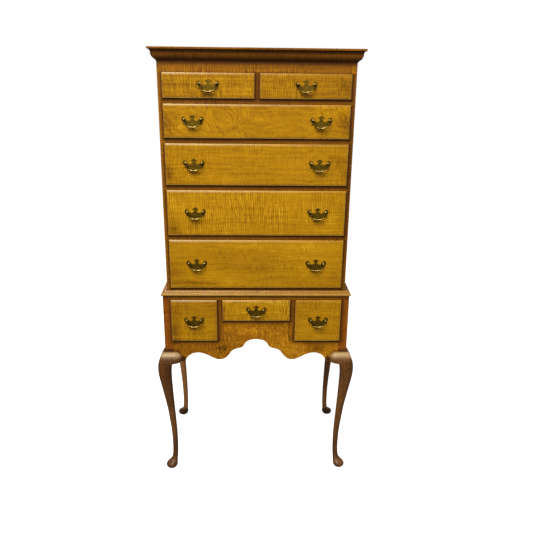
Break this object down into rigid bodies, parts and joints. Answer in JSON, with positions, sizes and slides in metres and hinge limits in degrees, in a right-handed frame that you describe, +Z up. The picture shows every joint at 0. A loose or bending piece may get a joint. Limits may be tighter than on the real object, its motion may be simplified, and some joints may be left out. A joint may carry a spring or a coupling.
{
  "type": "highboy chest of drawers",
  "caption": "Flat-top chest of drawers on a cabriole-leg stand with a scalloped apron, lipped drawers and brass bail pulls.",
  "frame": {"origin": "on the floor, under the middle of the case", "axes": "+Z up, +Y towards the back, +X to the viewer's right when facing the drawers"},
  "size_m": [0.8562, 0.516, 1.832],
  "materials": {
    "case_maple": "curly maple, amber varnish, satin",
    "drawer_maple": "curly maple, golden varnish, satin",
    "leg_maple": "maple, brown varnish, semi-gloss",
    "secondary_pine": "plain pine, unfinished",
    "antique_brass": "antiqued cast brass"
  },
  "bodies": {
    "case": {"leg_front_left": "leg_maple", "leg_front_right": "leg_maple", "leg_rear_left": "leg_maple", "leg_rear_right": "leg_maple", "knee_blocks": "leg_maple", "front_apron": "case_maple", "lower_sides": "case_maple", "lower_back_board": "secondary_pine", "lower_rail_and_dividers": "case_maple", "lower_drawer_runners": "secondary_pine", "waist_moulding": "case_maple", "upper_side_left": "case_maple", "upper_side_right": "case_maple", "upper_top_board": "secondary_pine", "upper_bottom_board": "secondary_pine", "upper_back_boards": "secondary_pine", "upper_drawer_blades": "case_maple", "small_drawer_divider": "case_maple", "upper_drawer_runners": "secondary_pine", "cornice_moulding": "case_maple"},
    "long_drawer_4": {"long_drawer_4_front": "drawer_maple", "long_drawer_4_box": "secondary_pine", "long_drawer_4_hardware": "antique_brass"},
    "long_drawer_4_bail_left": {"long_drawer_4_bail_left": "antique_brass"},
    "long_drawer_4_bail_right": {"long_drawer_4_bail_right": "antique_brass"},
    "long_drawer_3": {"long_drawer_3_front": "drawer_maple", "long_drawer_3_box": "secondary_pine", "long_drawer_3_hardware": "antique_brass"},
    "long_drawer_3_bail_left": {"long_drawer_3_bail_left": "antique_brass"},
    "long_drawer_3_bail_right": {"long_drawer_3_bail_right": "antique_brass"},
    "long_drawer_2": {"long_drawer_2_front": "drawer_maple", "long_drawer_2_box": "secondary_pine", "long_drawer_2_hardware": "antique_brass"},
    "long_drawer_2_bail_left": {"long_drawer_2_bail_left": "antique_brass"},
    "long_drawer_2_bail_right": {"long_drawer_2_bail_right": "antique_brass"},
    "long_drawer_1": {"long_drawer_1_front": "drawer_maple", "long_drawer_1_box": "secondary_pine", "long_drawer_1_hardware": "antique_brass"},
    "long_drawer_1_bail_left": {"long_drawer_1_bail_left": "antique_brass"},
    "long_drawer_1_bail_right": {"long_drawer_1_bail_right": "antique_brass"},
    "small_drawer_left": {"small_drawer_left_front": "drawer_maple", "small_drawer_left_box": "secondary_pine", "small_drawer_left_hardware": "antique_brass"},
    "small_drawer_left_bail": {"small_drawer_left_bail": "antique_brass"},
    "small_drawer_right": {"small_drawer_right_front": "drawer_maple", "small_drawer_right_box": "secondary_pine", "small_drawer_right_hardware": "antique_brass"},
    "small_drawer_right_bail": {"small_drawer_right_bail": "antique_brass"},
    "lower_drawer_left": {"lower_drawer_left_front": "drawer_maple", "lower_drawer_left_box": "secondary_pine", "lower_drawer_left_hardware": "antique_brass"},
    "lower_drawer_left_bail": {"lower_drawer_left_bail": "antique_brass"},
    "lower_drawer_centre": {"lower_drawer_centre_front": "drawer_maple", "lower_drawer_centre_box": "secondary_pine", "lower_drawer_centre_hardware": "antique_brass"},
    "lower_drawer_centre_bail": {"lower_drawer_centre_bail": "antique_brass"},
    "lower_drawer_right": {"lower_drawer_right_front": "drawer_maple", "lower_drawer_right_box": "secondary_pine", "lower_drawer_right_hardware": "antique_brass"},
    "lower_drawer_right_bail": {"lower_drawer_right_bail": "antique_brass"}
  },
  "joints": [
    {"name": "long_drawer_4_slide", "type": "slide", "parent": "case", "child": "long_drawer_4", "axis": [0, -1, 0], "range_m": [0, 0.3]},
    {"name": "long_drawer_4_bail_left_swing", "type": "hinge", "parent": "long_drawer_4", "child": "long_drawer_4_bail_left", "pos_m": [-0.2475, -0.2293, 0.9975], "axis": [-1, 0, 0], "range_deg": [-12, 95]},
    {"name": "long_drawer_4_bail_right_swing", "type": "hinge", "parent": "long_drawer_4", "child": "long_drawer_4_bail_right", "pos_m": [0.2475, -0.2293, 0.9975], "axis": [-1, 0, 0], "range_deg": [-12, 95]},
    {"name": "long_drawer_3_slide", "type": "slide", "parent": "case", "child": "long_drawer_3", "axis": [0, -1, 0], "range_m": [0, 0.3]},
    {"name": "long_drawer_3_bail_left_swing", "type": "hinge", "parent": "long_drawer_3", "child": "long_drawer_3_bail_left", "pos_m": [-0.2475, -0.2293, 1.21475], "axis": [-1, 0, 0], "range_deg": [-12, 95]},
    {"name": "long_drawer_3_bail_right_swing", "type": "hinge", "parent": "long_drawer_3", "child": "long_drawer_3_bail_right", "pos_m": [0.2475, -0.2293, 1.21475], "axis": [-1, 0, 0], "range_deg": [-12, 95]},
    {"name": "long_drawer_2_slide", "type": "slide", "parent": "case", "child": "long_drawer_2", "axis": [0, -1, 0], "range_m": [0, 0.3]},
    {"name": "long_drawer_2_bail_left_swing", "type": "hinge", "parent": "long_drawer_2", "child": "long_drawer_2_bail_left", "pos_m": [-0.2475, -0.2293, 1.409], "axis": [-1, 0, 0], "range_deg": [-12, 95]},
    {"name": "long_drawer_2_bail_right_swing", "type": "hinge", "parent": "long_drawer_2", "child": "long_drawer_2_bail_right", "pos_m": [0.2475, -0.2293, 1.409], "axis": [-1, 0, 0], "range_deg": [-12, 95]},
    {"name": "long_drawer_1_slide", "type": "slide", "parent": "case", "child": "long_drawer_1", "axis": [0, -1, 0], "range_m": [0, 0.3]},
    {"name": "long_drawer_1_bail_left_swing", "type": "hinge", "parent": "long_drawer_1", "child": "long_drawer_1_bail_left", "pos_m": [-0.2475, -0.2293, 1.5745], "axis": [-1, 0, 0], "range_deg": [-12, 95]},
    {"name": "long_drawer_1_bail_right_swing", "type": "hinge", "parent": "long_drawer_1", "child": "long_drawer_1_bail_right", "pos_m": [0.2475, -0.2293, 1.5745], "axis": [-1, 0, 0], "range_deg": [-12, 95]},
    {"name": "small_drawer_left_slide", "type": "slide", "parent": "case", "child": "small_drawer_left", "axis": [0, -1, 0], "range_m": [0, 0.3]},
    {"name": "small_drawer_left_bail_swing", "type": "hinge", "parent": "small_drawer_left", "child": "small_drawer_left_bail", "pos_m": [-0.185, -0.2293, 1.705], "axis": [-1, 0, 0], "range_deg": [-12, 95]},
    {"name": "small_drawer_right_slide", "type": "slide", "parent": "case", "child": "small_drawer_right", "axis": [0, -1, 0], "range_m": [0, 0.3]},
    {"name": "small_drawer_right_bail_swing", "type": "hinge", "parent": "small_drawer_right", "child": "small_drawer_right_bail", "pos_m": [0.185, -0.2293, 1.705], "axis": [-1, 0, 0], "range_deg": [-12, 95]},
    {"name": "lower_drawer_left_slide", "type": "slide", "parent": "case", "child": "lower_drawer_left", "axis": [0, -1, 0], "range_m": [0, 0.3]},
    {"name": "lower_drawer_left_bail_swing", "type": "hinge", "parent": "lower_drawer_left", "child": "lower_drawer_left_bail", "pos_m": [-0.26425, -0.2473, 0.7495], "axis": [-1, 0, 0], "range_deg": [-12, 95]},
    {"name": "lower_drawer_centre_slide", "type": "slide", "parent": "case", "child": "lower_drawer_centre", "axis": [0, -1, 0], "range_m": [0, 0.3]},
    {"name": "lower_drawer_centre_bail_swing", "type": "hinge", "parent": "lower_drawer_centre", "child": "lower_drawer_centre_bail", "pos_m": [0, -0.2473, 0.7965], "axis": [-1, 0, 0], "range_deg": [-12, 95]},
    {"name": "lower_drawer_right_slide", "type": "slide", "parent": "case", "child": "lower_drawer_right", "axis": [0, -1, 0], "range_m": [0, 0.3]},
    {"name": "lower_drawer_right_bail_swing", "type": "hinge", "parent": "lower_drawer_right", "child": "lower_drawer_right_bail", "pos_m": [0.26425, -0.2473, 0.7495], "axis": [-1, 0, 0], "range_deg": [-12, 95]}
  ]
}
